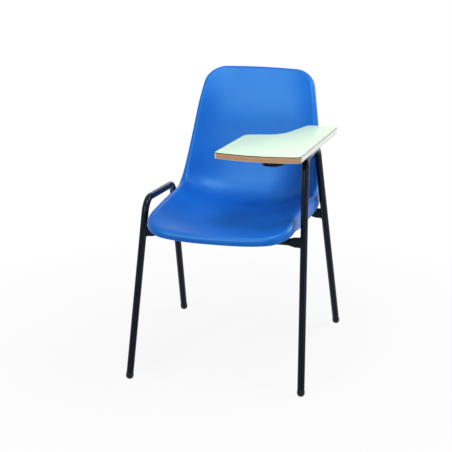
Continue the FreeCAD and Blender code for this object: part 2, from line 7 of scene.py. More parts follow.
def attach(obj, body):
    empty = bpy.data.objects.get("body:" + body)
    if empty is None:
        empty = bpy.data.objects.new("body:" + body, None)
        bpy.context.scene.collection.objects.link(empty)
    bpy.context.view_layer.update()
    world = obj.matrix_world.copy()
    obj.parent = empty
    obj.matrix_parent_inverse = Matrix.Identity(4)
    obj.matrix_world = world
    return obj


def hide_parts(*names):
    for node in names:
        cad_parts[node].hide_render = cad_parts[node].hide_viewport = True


# School chair with a moulded shell seat, a black tube frame and a laminated writing tablet.
# Sizes are in millimetres here, and addPiece turns them into metres.

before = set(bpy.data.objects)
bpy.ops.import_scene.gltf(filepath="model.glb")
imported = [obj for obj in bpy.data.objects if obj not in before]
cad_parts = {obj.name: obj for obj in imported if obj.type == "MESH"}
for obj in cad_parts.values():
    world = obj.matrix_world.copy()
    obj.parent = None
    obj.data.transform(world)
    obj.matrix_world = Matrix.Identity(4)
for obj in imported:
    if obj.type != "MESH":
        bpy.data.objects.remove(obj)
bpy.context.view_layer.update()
mm = 0.001
mergeMm = 0.002        # points of a piece nearer than this become one
print("frame loaded:", len(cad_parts), "nodes")


# Small helpers

def unit(vectors):
    # Each vector divided by its length
    return vectors / np.linalg.norm(vectors, axis=-1, keepdims=True)


def smoothStep(share):
    # 3 s^2 - 2 s^3, level at both ends
    share = np.clip(share, 0, 1)
    return share * share * (3 - 2 * share)


def smoothTable(stations, values, places):
    # Cubic between stations; an inner slope is the harmonic mean of its neighbours, so that
    # nothing overshoots
    stations, values = np.array(stations, float), np.array(values, float)
    gaps = np.diff(stations)
    slopes = np.diff(values) / gaps
    product = slopes[:-1] * slopes[1:]
    total = np.where(product > 0, slopes[:-1] + slopes[1:], 1)
    inner = np.where(product > 0, 2 * product / total, 0)
    tangents = np.concatenate([slopes[:1], inner, slopes[-1:]])
    k = np.clip(np.searchsorted(stations, places, side="right") - 1, 0, len(gaps) - 1)
    t = (places - stations[k]) / gaps[k]
    start = values[k] * (1 + 2 * t) * (1 - t) ** 2 + tangents[k] * gaps[k] * t * (1 - t) ** 2
    end = values[k + 1] * t * t * (3 - 2 * t) + tangents[k + 1] * gaps[k] * t * t * (t - 1)
    return start + end


def splineBasis(controlCount, places):
    # Weights of a cubic spline with evenly spaced knots, clamped at its ends; places go from 0 to 1
    degree = 3
    spans = controlCount - degree
    knots = np.concatenate([np.zeros(degree), np.arange(spans + 1), np.full(degree, spans)])
    x = np.clip(places, 0, 1 - 1e-9)[:, None] * spans      # the last place stays in the last span
    weights = ((x >= knots[:-1]) & (x < knots[1:])).astype(float)
    for d in range(1, degree + 1):
        low, high = knots[d:-1] - knots[:-d - 1], knots[d + 1:] - knots[1:-d]
        left = np.where(low > 0, (x - knots[:-d - 1]) / np.where(low > 0, low, 1), 0)
        right = np.where(high > 0, (knots[d + 1:] - x) / np.where(high > 0, high, 1), 0)
        weights = left * weights[:, :-1] + right * weights[:, 1:]
    return weights


def turnAngles(count):
    # Evenly spaced angles once round a circle
    return np.linspace(0, 2 * np.pi, count, endpoint=False)


def gridFaces(rows, columns):
    # Quads between neighbouring rows; the last column joins the first
    index = np.arange(rows * columns).reshape(rows, columns)
    index = np.hstack([index, index[:, :1]])
    quads = np.stack([index[:-1, :-1], index[:-1, 1:], index[1:, 1:], index[1:, :-1]], -1)
    return quads.reshape(-1, 4).tolist()


def closedTube(rings, slots=None):
    # Patch from a stack of closed rings, with a flat face over each end; slots gives the material
    # of each strip between two rings
    rows, columns = rings.shape[:2]
    faces = gridFaces(rows, columns)
    marks = [0] * len(faces) if slots is None else np.repeat(slots, columns).tolist()
    last = (rows - 1) * columns
    faces += [list(range(columns)), list(range(last, last + columns))]
    marks += [marks[0], marks[-1]]
    return rings.reshape(-1, 3), faces, marks


def addPiece(name, patches, materials, replaced, sharpDegrees=35):
    # Joins patches of points, faces and material numbers into one mesh that stands for CAD nodes
    points, faces, marks, offset = [], [], [], 0
    for patchPoints, patchFaces, patchMarks in patches:
        points.append(patchPoints)
        faces += [[corner + offset for corner in face] for face in patchFaces]
        marks += patchMarks
        offset += len(patchPoints)
    mesh = bpy.data.meshes.new(name)
    mesh.from_pydata((np.concatenate(points) * mm).tolist(), [], faces)
    mesh.polygons.foreach_set("material_index", marks)
    work = bmesh.new()
    work.from_mesh(mesh)
    bmesh.ops.remove_doubles(work, verts=work.verts, dist=mergeMm * mm)
    bmesh.ops.recalc_face_normals(work, faces=work.faces)
    work.to_mesh(mesh)
    work.free()
    mesh.polygons.foreach_set("use_smooth", [True] * len(mesh.polygons))
    mesh.set_sharp_from_angle(angle=np.radians(sharpDegrees))
    for material in materials:
        mesh.materials.append(material)
    piece = bpy.data.objects.new(name, mesh)
    bpy.context.scene.collection.objects.link(piece)
    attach(piece, "root")
    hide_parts(*replaced)
    return piece


# Materials

def hexColour(text):
    # sRGB hex to the linear colour that a shader takes
    values = np.array([int(text[i:i + 2], 16) for i in (1, 3, 5)]) / 255
    linear = np.where(values <= 0.04045, values / 12.92, ((values + 0.055) / 1.055) ** 2.4)
    return (*linear.tolist(), 1.0)


def addNode(tree, kind, values=None, links=None, **settings):
    # Adds a node with its settings, the values of its sockets and the links into them
    node = tree.nodes.new(kind)
    for key, value in settings.items():
        setattr(node, key, value)
    for socket, value in (values or {}).items():
        node.inputs[socket].default_value = value
    for socket, source in (links or {}).items():
        tree.links.new(source, node.inputs[socket])
    return node


def startMaterial(name):
    # Empty material, with the piece's own coordinates ready for its patterns
    material = bpy.data.materials.new(name)
    material.use_nodes = True
    material.node_tree.nodes.clear()
    coordinates = addNode(material.node_tree, "ShaderNodeTexCoord").outputs["Object"]
    return material, material.node_tree, coordinates


def finishMaterial(material, values, links):
    # Shader with constants on its own sockets, and patterns linked to the others
    tree = material.node_tree
    shader = addNode(tree, "ShaderNodeBsdfPrincipled", values, links)
    addNode(tree, "ShaderNodeOutputMaterial", links={"Surface": shader.outputs["BSDF"]})
    return material


evenly = (1, 1, 1)
noiseSpan = (0.3, 0.7)       # nearly all of a noise pattern lies between these two values


def makeSurface(name, look, colours=None):
    # Each pattern is noise with blobs of a real size, drawn out along an axis where its stretch is
    # above 1. Base colour = blend of two colours over a pattern, roughness = range over a pattern,
    # and height of the bump = pattern times depth. The dark line's colour, a glue line carrying
    # painted shade of the gap under the laminate, comes over the blend towards the top of a band.
    material, tree, place = startMaterial(name)
    patterns = {}
    for pattern, (blobMm, detail, stretch) in look["patterns"].items():
        scale = [1 / (blobMm * mm * s) for s in stretch]
        drawn = addNode(tree, "ShaderNodeMapping", {"Scale": scale}, {"Vector": place})
        noise = addNode(tree, "ShaderNodeTexNoise", {"Scale": 1.0, "Detail": detail},
                        {"Vector": drawn.outputs["Vector"]})
        patterns[pattern] = noise.outputs["Fac"]
    pattern, low, high = look["blend"]
    first, second = [hexColour(text) for text in colours or look["colours"]]
    share = addNode(tree, "ShaderNodeMapRange", {"From Min": low, "From Max": high},
                    {"Value": patterns[pattern]})
    # a mix node's colours are its sockets 6 and 7, and their blend is its output 2
    colour = addNode(tree, "ShaderNodeMix", {6: first, 7: second}, {0: share.outputs["Result"]},
                     data_type="RGBA")
    # painted shade: a dark line along the band's top stands for its glue and the shade in the gap
    # under the laminate
    if "glueAndShadeLine" in look:
        glueAndShadeLine, low, high = look["glueAndShadeLine"]
        height = addNode(tree, "ShaderNodeAttribute", attribute_name="heightShare")
        share = addNode(tree, "ShaderNodeMapRange", {"From Min": low, "From Max": high},
                        {"Value": height.outputs["Fac"]})
        colour = addNode(tree, "ShaderNodeMix", {7: hexColour(glueAndShadeLine)},
                         {0: share.outputs["Result"], 6: colour.outputs[2]}, data_type="RGBA")
    links = {"Base Color": colour.outputs[2]}
    if "roughness" in look:
        pattern, low, high = look["roughness"]
        ends = {"From Min": noiseSpan[0], "From Max": noiseSpan[1], "To Min": low, "To Max": high}
        rough = addNode(tree, "ShaderNodeMapRange", ends, {"Value": patterns[pattern]})
        links["Roughness"] = rough.outputs["Result"]
    if "bump" in look:
        pattern, depthMm = look["bump"]
        bump = addNode(tree, "ShaderNodeBump", {"Distance": depthMm * mm},
                       {"Height": patterns[pattern]})
        links["Normal"] = bump.outputs["Normal"]
    return finishMaterial(material, look["sockets"], links)


# Injection moulded polypropylene: even strong blue, fine spark-eroded grain, broad soft highlights
shellPlastic = {
    # blob size in mm, detail and stretch; the real grain is about 0.4 mm, drawn coarser to show
    "patterns": {"cloud": (90.0, 2.0, evenly), "grain": (1.6, 2.0, evenly)},
    "colours": ("#0867ce", "#065fc6"),
    "blend": ("cloud", *noiseSpan),      # faint cloudiness of the moulding
    "roughness": ("grain", 0.36, 0.46),
    "bump": ("grain", 0.02),             # mm
    # the pigment cools the highlights
    "sockets": {"IOR": 1.49, "Specular IOR Level": 0.66, "Specular Tint": hexColour("#a2f2ff")},
}

# Polyester powder coat baked on steel tube: near black, satin, with a slight orange peel
framePaint = {
    "patterns": {"wear": (40.0, 3.0, evenly), "peel": (3.0, 1.0, evenly)},
    "colours": ("#050910", "#080e18"),
    "blend": ("wear", *noiseSpan),
    "roughness": ("wear", 0.09, 0.13),
    "bump": ("peel", 0.008),
    # cool studio light in the gloss
    "sockets": {"IOR": 1.5, "Specular IOR Level": 0.2, "Specular Tint": hexColour("#c4dcff")},
}

# Moulded polyethylene foot: black, dull, scuffed by floors
footPlastic = {
    "patterns": {"scuff": (2.0, 5.0, evenly)},
    "colours": ("#05070c", "#10141c"),
    "blend": ("scuff", 0.5, 0.75),
    "roughness": ("scuff", 0.35, 0.5),
    "bump": ("scuff", 0.05),
    "sockets": {"IOR": 1.5, "Specular IOR Level": 0.25},
}

# Zinc plated steel: pale grey metal with a faint crystalline mottle
fastenerZinc = {
    "patterns": {"mottle": (1.2, 3.0, evenly)},
    "colours": ("#a9adb2", "#c4c7ca"),
    "blend": ("mottle", *noiseSpan),
    "roughness": ("mottle", 0.3, 0.42),
    "bump": ("mottle", 0.01),
    "sockets": {"Metallic": 1.0},
}

# High pressure laminate: hard pale sheet with a fine pearl texture and a faint speckle
tabletSheet = {
    "patterns": {"speckle": (3.0, 4.0, evenly), "pearl": (1.5, 1.0, evenly)},
    "mint": ("#dff8d8", "#daf3d3"),
    "backing": ("#cfd2c8", "#bcc0b4"),
    "blend": ("speckle", 0.4, 0.75),
    "roughness": ("pearl", 0.3, 0.42),
    "bump": ("pearl", 0.02),
    "sockets": {"IOR": 1.5},
}

# Cut edge of the laminate: brown phenolic paper that shows as a thin darker line, darkened further
# with painted shade of the groove at the arris
sheetEdgeWithShade = {
    "patterns": {"fibre": (1.5, 3.0, (6, 6, 1))},
    # dark phenolic brown, darker still as painted shade of the groove along the arris
    "colours": ("#2c2117", "#3c2f22"),
    "blend": ("fibre", *noiseSpan),
    "sockets": {"Roughness": 0.6, "IOR": 1.5},
}

# Extruded edge band glued on hot: fine streaks run along the edge; along its top a dark glue line
# carries painted shade of the gap under the laminate
bandStrip = {
    "patterns": {"streak": (1.2, 4.0, (24, 24, 1))},
    "pale": ("#f3f6f2", "#e8ece7"),
    "brown": ("#d3a37f", "#bd8d69"),
    "blend": ("streak", *noiseSpan),
    # colour of the glue line darkened with painted shade, and the shares of the band's height where
    # it starts and is darkest
    "glueAndShadeLine": ("#33251a", 0.89, 0.93),
    "roughness": ("streak", 0.38, 0.5),
    "bump": ("streak", 0.02),
    "sockets": {"IOR": 1.46},
}

# Particle board core: pressed chips in several browns
boardCore = {
    "colours": ("#b8956a", "#8a6a45"),
    "chipMm": 2.5,
    "sockets": {"Roughness": 0.85, "IOR": 1.5},
}


def particleBoard(look):
    # Blend of two browns over the distance to each chip's middle
    material, tree, place = startMaterial("pressed particle board")
    chips = addNode(tree, "ShaderNodeTexVoronoi", {"Scale": 1 / (look["chipMm"] * mm)},
                    {"Vector": place})
    first, second = [hexColour(text) for text in look["colours"]]
    colour = addNode(tree, "ShaderNodeMix", {6: first, 7: second}, {0: chips.outputs["Distance"]},
                     data_type="RGBA")
    return finishMaterial(material, look["sockets"], {"Base Color": colour.outputs[2]})


bluePlastic = makeSurface("moulded blue polypropylene", shellPlastic)
blackPaint = makeSurface("satin black powder coat", framePaint)
glideBlack = makeSurface("moulded black polyethylene", footPlastic)
zincSteel = makeSurface("zinc plated steel", fastenerZinc)
mintLaminate = makeSurface("mint white laminate", tabletSheet, tabletSheet["mint"])
backingLaminate = makeSurface("pale backing laminate", tabletSheet, tabletSheet["backing"])
edgeLineWithShade = makeSurface("cut laminate edge with painted shade", sheetEdgeWithShade)
paleBand = makeSurface("pale edge band", bandStrip, bandStrip["pale"])
brownBand = makeSurface("light brown edge band", bandStrip, bandStrip["brown"])
chipCore = particleBoard(boardCore)
print("materials made:", len(bpy.data.materials))


# Legs: each side is one bent tube, and both side tubes lean inward

legs = {
    "tubeRadius": 10.5,
    "footHalfWidth": 257.0,
    "footHalfDepth": 296.5,
    "footMiddleBack": -7.85,
    "leanShare": 0.043,
    "rightRailReaches": {-1: 136.7, 1: 39.2},     # from the middle of the feet, forward and back
    "railHeights": {-1: (518.0, 488.0), 1: (660.5, 651.5)},     # left side, right side
    "bendRadius": 46.0,
    "sides": 40,                 # facets round a tube or a glide
    "glideRadius": 11.3,
    "ballHeight": 9.3,
    "ballStart": 0.02,           # radians up from the ball's lowest point
    "ballRings": 14,
    "collarHeight": 8.0,
    # the collar's profile: heights as shares, how deep each is cut, and the step in to its top
    "collarShares": [0.35, 0.4, 0.5, 0.55, 0.85, 0.95, 1.0, 1.0],
    "collarCuts": [0.0, 0.5, 0.5, 0.0, 0.0, 0.2, 0.7],
    "collarTopStep": 1.0,
}


def legPoint(side, end, height):
    # Foot's place + height x slope: inward by the lean, and towards the middle by a rake that
    # takes the right side's leg to its rail's corner
    railHeight = legs["railHeights"][1][(end + 1) // 2]
    rakeShare = (legs["footHalfDepth"] - legs["rightRailReaches"][end]) / railHeight
    out = legs["footHalfWidth"] - legs["leanShare"] * height
    back = legs["footMiddleBack"] + end * (legs["footHalfDepth"] - rakeShare * height)
    return np.array([side * out, back, height])


def legDirection(side, end):
    # From the foot up the leg's axis
    return unit(legPoint(side, end, 1000.0) - legPoint(side, end, 0.0))


def tubeFoot(side, end):
    # Where the tube ends on its glide
    glideHeight = legs["ballHeight"] + legs["collarHeight"]
    return legPoint(side, end, 0.0) + legDirection(side, end) * glideHeight


def roundedPath(corners, radii, stepDegrees=4.0, fewest=4):
    # Straight runs between corners; an arc tangent to both runs rounds each corner with a radius
    corners = [np.array(corner, float) for corner in corners]
    points = []
    for i, (corner, radius) in enumerate(zip(corners, radii)):
        if radius == 0:
            points.append(corner[None])
            continue
        toLast = unit(corners[i - 1] - corner)
        toNext = unit(corners[(i + 1) % len(corners)] - corner)
        halfAngle = np.arccos(np.clip(toLast @ toNext, -1, 1)) / 2
        bisector = unit(toLast + toNext)
        centre = corner + bisector * radius / np.sin(halfAngle)
        halfTurn = np.pi / 2 - halfAngle
        sideways = unit(toNext - toLast)
        count = max(fewest, int(np.degrees(2 * halfTurn) / stepDegrees))
        turns = np.linspace(-halfTurn, halfTurn, count)[:, None]
        points.append(centre + radius * (sideways * np.sin(turns) - bisector * np.cos(turns)))
    return np.concatenate(points)


def pathTangents(path, closed=False):
    # Unit step before a point plus unit step after it, made unit again
    steps = unit(np.diff(np.vstack([path, path[:1]]), axis=0))
    before = np.vstack([steps[-1:], steps[:-1]])
    if not closed:
        steps[-1] = steps[-2]
        before[0] = steps[0]
    return unit(before + steps)


def sweptRings(path, flatNormal, radius, sides):
    # Circle carried along a flat path: path point + radius (cos a across + sin a normal)
    tangents = pathTangents(path)
    across = unit(np.cross(flatNormal, tangents))
    angles = turnAngles(sides)[None, :, None]
    return path[:, None] + radius * (np.cos(angles) * across[:, None] + np.sin(angles) * flatNormal)


def glideRings(side, end):
    # Profile turned about the leg: a ball and a collar with a small groove, flat on the floor
    axis = legDirection(side, end)
    r, middle = legs["glideRadius"], legs["ballHeight"]
    ball = np.linspace(-np.pi / 2 + legs["ballStart"], 0, legs["ballRings"])
    along = np.concatenate([middle + r * np.sin(ball),
                            middle + legs["collarHeight"] * np.array(legs["collarShares"])])
    out = np.concatenate([r * np.cos(ball), r - np.array(legs["collarCuts"]),
                          [legs["tubeRadius"] - legs["collarTopStep"]]])
    first = unit(np.cross(axis, [0, 1, 0]))
    second = np.cross(axis, first)
    angles = turnAngles(legs["sides"])[None, :, None]
    rings = legPoint(side, end, 0.0) + along[:, None, None] * axis \
        + out[:, None, None] * (np.cos(angles) * first + np.sin(angles) * second)
    rings[..., 2] = np.maximum(rings[..., 2], 0)
    return rings


def makeSideFrames():
    # Each tube follows a flat path: foot, two rounded corners of the rail, foot
    for side, name in ((-1, "left"), (1, "right")):
        heights = legs["railHeights"][side]
        corners = [tubeFoot(side, -1), legPoint(side, -1, heights[0]),
                   legPoint(side, 1, heights[1]), tubeFoot(side, 1)]
        path = roundedPath(corners, [0, legs["bendRadius"], legs["bendRadius"], 0])
        flatNormal = unit(np.cross(corners[1] - corners[0], corners[2] - corners[1]))
        rings = sweptRings(path, flatNormal, legs["tubeRadius"], legs["sides"])
        addPiece(name + "BentTube", [closedTube(rings)], [blackPaint],
                 [name + "_side_frame"])
    for end, endName in ((-1, "front"), (1, "rear")):
        for side, sideName in ((-1, "left"), (1, "right")):
            glide = closedTube(glideRings(side, end))
            addPiece(endName + sideName.capitalize() + "FootGlide", [glide], [glideBlack],
                     [endName + "_" + sideName + "_glide"])


makeSideFrames()
print("side frames and foot glides made")


# Cross tubes under the seat, with squashed ends and weld beads

crossTubes = {
    "radius": 10.0,
    "heights": {-1: 426.5, 1: 417.5},
    "bladeHalfHeight": 15.5,
    "bladeHalfThickness": 2.6,
    "bladeLength": 7.0,
    "squashLength": 34.0,
    "tallShares": [0.0, 0.10, 0.55, 0.93, 1.0],
    "thinShares": [0.0, 0.04, 0.45, 0.90, 1.0],
    "squareness": 1.2,           # added to the section's power of 2 where it is flat
    "rings": (5, 22),            # on half of the round part and on a squashed part
    "sides": 48,
    "beadRadius": 2.1,
    "beadRipples": 22,
    "beadPoints": 176,
}

weldBead = {
    "swellShare": 0.14,
    "sides": 12,
}


def legSurface(side, end, back, height):
    # Where a line along X meets the inner side of a leg's tube: the root of distance to the
    # axis = radius that lies nearer to the chair's middle
    axis = legDirection(side, end)
    start = legPoint(side, end, 0.0)
    offset = np.stack([np.zeros_like(back) - start[0], back - start[1], height - start[2]], -1)
    along = offset @ axis
    a = 1 - axis[0] ** 2
    b = offset[..., 0] - along * axis[0]
    c = (offset ** 2).sum(-1) - along ** 2 - legs["tubeRadius"] ** 2
    root = np.sqrt(np.maximum(b * b - a * c, 0))
    return (-b - side * root) / a


def crossTubeRings(end):
    # Section at x: |y / thin|^n + |z / tall|^n = 1; tall, thin and n follow how far it is squashed
    height = crossTubes["heights"][end]
    centre = legPoint(1, end, height)
    reach = centre[0] - legs["tubeRadius"]
    squashEnd = reach - crossTubes["bladeLength"]
    squashStart = squashEnd - crossTubes["squashLength"]
    roundRings, squashRings = crossTubes["rings"]
    half = np.concatenate([np.linspace(0, squashStart, roundRings)[:-1],
                           np.linspace(squashStart, squashEnd, squashRings), [reach]])
    x = np.concatenate([-half[:0:-1], half])
    share = np.clip((np.abs(x) - squashStart) / crossTubes["squashLength"], 0, 1)
    shareStations = np.linspace(0, 1, len(crossTubes["tallShares"]))
    tallShare = smoothTable(shareStations, crossTubes["tallShares"], share)
    thinShare = smoothTable(shareStations, crossTubes["thinShares"], share)
    r = crossTubes["radius"]
    tall = (r + (crossTubes["bladeHalfHeight"] - r) * tallShare)[:, None]
    thin = (r + (crossTubes["bladeHalfThickness"] - r) * thinShare)[:, None]
    power = (2 / (2 + crossTubes["squareness"] * thinShare))[:, None]
    angles = turnAngles(crossTubes["sides"])[None]
    back = centre[1] + thin * np.sign(np.cos(angles)) * np.abs(np.cos(angles)) ** power
    up = height + tall * np.sign(np.sin(angles)) * np.abs(np.sin(angles)) ** power
    rings = np.stack([np.broadcast_to(x[:, None], back.shape), back, up], -1)
    for row, side in ((0, -1), (-1, 1)):
        rings[row, :, 0] = legSurface(side, end, rings[row, :, 1], rings[row, :, 2])
    return rings


def beadRings(path, outward, radius, ripples):
    # Circle carried round a closed seam; its radius swells and shrinks once for each ripple
    tangents = pathTangents(path, closed=True)
    across = unit(outward - (outward * tangents).sum(-1, keepdims=True) * tangents)
    normal = np.cross(tangents, across)
    turn = turnAngles(len(path))
    swell = radius * (1 + weldBead["swellShare"] * np.cos(turn * ripples))[:, None, None]
    angles = turnAngles(weldBead["sides"])[None, :, None]
    circle = np.cos(angles) * across[:, None] + np.sin(angles) * normal[:, None]
    rings = path[:, None] + swell * circle
    rings = np.concatenate([rings, rings[:1]])
    faces = gridFaces(*rings.shape[:2])
    return rings.reshape(-1, 3), faces, [0] * len(faces)


def makeCrossTubes():
    # Two tubes, and a bead round each end: an ellipse seen along X, laid on the leg's surface
    beads = []
    thin, tall = crossTubes["bladeHalfThickness"], crossTubes["bladeHalfHeight"]
    angles = turnAngles(crossTubes["beadPoints"])
    for end, name in ((-1, "front"), (1, "rear")):
        addPiece(name + "CrossTube", [closedTube(crossTubeRings(end))], [blackPaint],
                 [name + "_cross_tube"])
        height = crossTubes["heights"][end]
        for side in (-1, 1):
            back = legPoint(side, end, height)[1] + thin * np.cos(angles)
            up = height + tall * np.sin(angles)
            path = np.stack([legSurface(side, end, back, up), back, up], -1)
            outward = unit(np.stack([0 * angles, np.cos(angles) / thin, np.sin(angles) / tall], -1))
            beads.append(beadRings(path, outward, crossTubes["beadRadius"],
                                   crossTubes["beadRipples"]))
    addPiece("crossTubeWeldBeads", beads, [blackPaint], ["cross_tube_welds"])


makeCrossTubes()
print("cross tubes and welds made")


# Seat shell

shell = {
    "thickness": 4.5,
    # along the centre line, from the front edge to the middle of the seat bend and to the top edge
    "seatLength": 447.0,
    "length": 847.0,
    "seatBend": (150.9, 454.36),     # how far back and how high the middle of the seat bend lies
    "heading": 5.6,              # degrees, before the bends
    # middle along that line, length and turn in degrees of the lip, seat, lumbar and head bends;
    # the tables below go by shares of the length
    "bends": [(0.0, 100.0, -9.3), (447.0, 174.0, 74.8), (620.0, 200.0, 8.9), (733.5, 140.0, -17.4)],
    "flatAcrossShare": 0.06,
    "halfWidths": ([0.0, 0.12, 0.35, 0.55, 0.75, 1.0], [193.0, 190.0, 194.5, 197.0, 187.5, 154.0]),
    "sideRises": ([0.0, 0.12, 0.35, 0.52, 0.66, 0.82, 1.0],
                  [14.0, 35.5, 42.5, 45.0, 37.0, 18.0, 16.0]),
    "steepShares": ([0.0, 0.5, 0.65, 1.0], [0.6, 0.6, 0.6, 0.8]),
    "rollRadii": ([0.0, 0.5, 0.7, 1.0], [16.0, 16.0, 10.0, 10.0]),
    "flangeDepths": ([0.0, 0.06, 0.2, 0.45, 0.6, 0.75, 1.0],
                     [8.5, 12.0, 29.0, 30.0, 15.0, 5.0, 3.0]),
    "frontBow": 7.0,
    "topBow": 7.5,
    "topBowStartShare": 0.6,
    "frontCornerRadius": 52.0,
    "topCornerRadius": 46.0,
    "middleShare": 0.649,        # of the seat's length; the rings close in on this spot
    "middleRingShare": 0.05,
    "ringPower": 0.85,
    "rings": (30, 8, 4),         # on the sheet, on its rolled rim, on the flange
    "columns": (6, 9, 32, 9, 5),     # along the front, a corner, a side, a corner and the top
    "surface": (96, 150),        # rings and columns of the finished surface's half
    "edgeRound": 1.3,
    "edgeRings": 5,
    "lineSteps": 1200,
    "lineMarginShare": 0.1,      # of the length, by which the line runs on past both edges
    "nudgeShare": 1e-4,          # step for the surface's slopes
    "sharpDegrees": 50,
}


def centreLine():
    # Heading = first heading + each bend's turn, eased in over its spread; the line is the sum of
    # its steps
    count = shell["lineSteps"]
    margin = shell["length"] * shell["lineMarginShare"]
    stations = np.linspace(-margin, shell["length"] + margin, count + 1)
    heading = np.full(count + 1, shell["heading"])
    for middle, spread, turn in shell["bends"]:
        heading = heading + turn * smoothStep((stations - middle + spread / 2) / spread)
    heading = np.radians(heading)
    step = stations[1] - stations[0]
    cosines, sines = np.cos(heading), np.sin(heading)
    back = np.concatenate([[0], np.cumsum((cosines[:-1] + cosines[1:]) / 2 * step)])
    height = np.concatenate([[0], np.cumsum((sines[:-1] + sines[1:]) / 2 * step)])
    back += shell["seatBend"][0] - np.interp(shell["seatLength"], stations, back)
    height += shell["seatBend"][1] - np.interp(shell["seatLength"], stations, height)
    return stations, back, height, heading


lineStations, lineBack, lineHeight, lineHeading = centreLine()


def sheetPoint(station, across):
    # Point of the centre line lifted square to it by rise ((1 - s) t^2 + s t^4), where s is steep
    # and t is the share across past the flat middle
    heading = np.interp(station, lineStations, lineHeading)
    share = station / shell["length"]
    halfWidth = smoothTable(*shell["halfWidths"], share)
    steep = smoothTable(*shell["steepShares"], share)
    t = np.maximum(np.abs(across) - shell["flatAcrossShare"], 0) / (1 - shell["flatAcrossShare"])
    rise = smoothTable(*shell["sideRises"], share) * (t ** 2 * (1 - steep) + t ** 4 * steep)
    return np.stack([across * halfWidth,
                     np.interp(station, lineStations, lineBack) - rise * np.sin(heading),
                     np.interp(station, lineStations, lineHeight) + rise * np.cos(heading)], -1)


def sheetNormal(station, across):
    # Step across times step along, as vectors, made unit
    nudge = shell["nudgeShare"]
    small = shell["length"] * nudge
    along = sheetPoint(station + small, across) - sheetPoint(station - small, across)
    sideways = sheetPoint(station, across + nudge) - sheetPoint(station, across - nudge)
    return unit(np.cross(sideways, along))


def rimOutline():
    # Right half of the edge: front, quarter circle, side, quarter circle, top; then both ends bow
    length = shell["length"]
    frontRadius, topRadius = shell["frontCornerRadius"], shell["topCornerRadius"]
    frontShare = frontRadius / shell["halfWidths"][1][0]
    topShare = topRadius / shell["halfWidths"][1][-1]
    nFront, nCorner, nSide, nCornerTop, nTop = shell["columns"]
    front = np.arange(nFront) / nFront
    corner = np.pi / 2 * np.arange(nCorner) / nCorner
    side = np.arange(nSide) / nSide
    topCorner = np.pi / 2 * np.arange(nCornerTop) / nCornerTop
    top = np.arange(nTop + 1) / nTop
    station = np.concatenate([0 * front, frontRadius * (1 - np.cos(corner)),
                              frontRadius + (length - topRadius - frontRadius) * side,
                              length - topRadius + topRadius * np.sin(topCorner), length + 0 * top])
    across = np.concatenate([(1 - frontShare) * front, 1 - frontShare + frontShare * np.sin(corner),
                             1 + 0 * side, 1 - topShare + topShare * np.cos(topCorner),
                             (1 - topShare) * (1 - top)])
    start = shell["topBowStartShare"]
    nearFront = smoothStep(1 - station / (length / 2))
    nearTop = smoothStep((station / length - start) / (1 - start))
    bow = nearFront * shell["frontBow"] - nearTop * shell["topBow"]
    return station + bow * across ** 2, across


def shellControls():
    # Rings from the middle out to the edge, then round the roll and down the flange, on both sides
    station, across = rimOutline()
    inside, onRoll, onFlange = shell["rings"]
    first = shell["middleRingShare"]
    shares = (first + (1 - first) * (np.arange(inside + 1) / inside) ** shell["ringPower"])[:, None]
    middleStation = shell["seatLength"] * shell["middleShare"]
    ringStation = middleStation + (station - middleStation) * shares
    ringAcross = across * shares
    upper = sheetPoint(ringStation, ringAcross)
    under = upper - sheetNormal(ringStation, ringAcross) * shell["thickness"]
    edge = upper[-1]
    normal = sheetNormal(station, across)
    alongRim = np.vstack([[[1, 0, 0]], edge[2:] - edge[:-2], [[-1, 0, 0]]])
    outward = unit(np.cross(alongRim, normal))
    heading = np.interp(station, lineStations, lineHeading)
    downward = np.stack([0 * heading, np.sin(heading), -np.cos(heading)], -1)
    turn = np.arctan2(-(downward * normal).sum(-1), (downward * outward).sum(-1))
    radius = smoothTable(*shell["rollRadii"], station / shell["length"])[:, None]
    depth = smoothTable(*shell["flangeDepths"], station / shell["length"])[:, None]
    steps = np.arange(1, onRoll + onFlange + 1)[:, None, None]
    angle = turn[:, None] * np.minimum(steps / onRoll, 1)
    facing = outward * np.sin(angle) + normal * np.cos(angle)
    onward = outward * np.cos(angle) - normal * np.sin(angle)
    rim = edge + outward * radius * np.sin(angle) - normal * radius * (1 - np.cos(angle)) \
        + onward * depth * np.maximum(steps - onRoll, 0) / onFlange
    return np.concatenate([upper, rim]), np.concatenate([under, rim - facing * shell["thickness"]])


def wholeRings(halfRings):
    # Adds the mirror image: columns run from the front middle up the right side and down the left
    left = halfRings[:, -2:0:-1] * [-1, 1, 1]
    return np.concatenate([halfRings, left], 1)


def shellSurface(controls):
    # The smooth surface that the control rings steer: ring weights x controls x column weights
    ringCount, columnCount = shell["surface"]
    controls = controls.copy()
    controls[:, [0, -1], 0] = 0
    ringWeights = splineBasis(controls.shape[0], np.linspace(0, 1, ringCount))
    columnWeights = splineBasis(controls.shape[1], np.linspace(0, 1, columnCount))
    return wholeRings(np.einsum("ri,ijk,cj->rck", ringWeights, controls, columnWeights))


def shellSheetPatch():
    # Upper skin out to the edge, a quarter circle at each side of it, and the under skin back in
    upper, under = [shellSurface(controls) for controls in shellControls()]
    toUnder = unit(under[-1] - upper[-1])
    onward = unit(upper[-1] - upper[-2])
    r = shell["edgeRound"]
    turns = np.linspace(0, np.pi / 2, shell["edgeRings"])[:, None, None]
    firstRound = upper[-1] + (toUnder * (1 - np.cos(turns)) - onward * (1 - np.sin(turns))) * r
    secondRound = under[-1] + (-toUnder * (1 - np.cos(turns)) - onward * (1 - np.sin(turns))) * r
    rings = np.concatenate([upper[:-1], firstRound, secondRound[::-1], under[-2::-1]])
    rows, columns = rings.shape[:2]
    points = rings.reshape(-1, 3)
    faces = gridFaces(rows, columns)
    # both middles close on a point
    for first, ring in ((0, upper[0]), ((rows - 1) * columns, under[0])):
        middle = ring.mean(0)
        points = np.vstack([points, middle])
        loop = np.arange(first, first + columns)
        faces += np.stack([loop, np.roll(loop, -1), np.full(columns, len(points) - 1)], -1).tolist()
    return points, faces, [0] * len(faces)


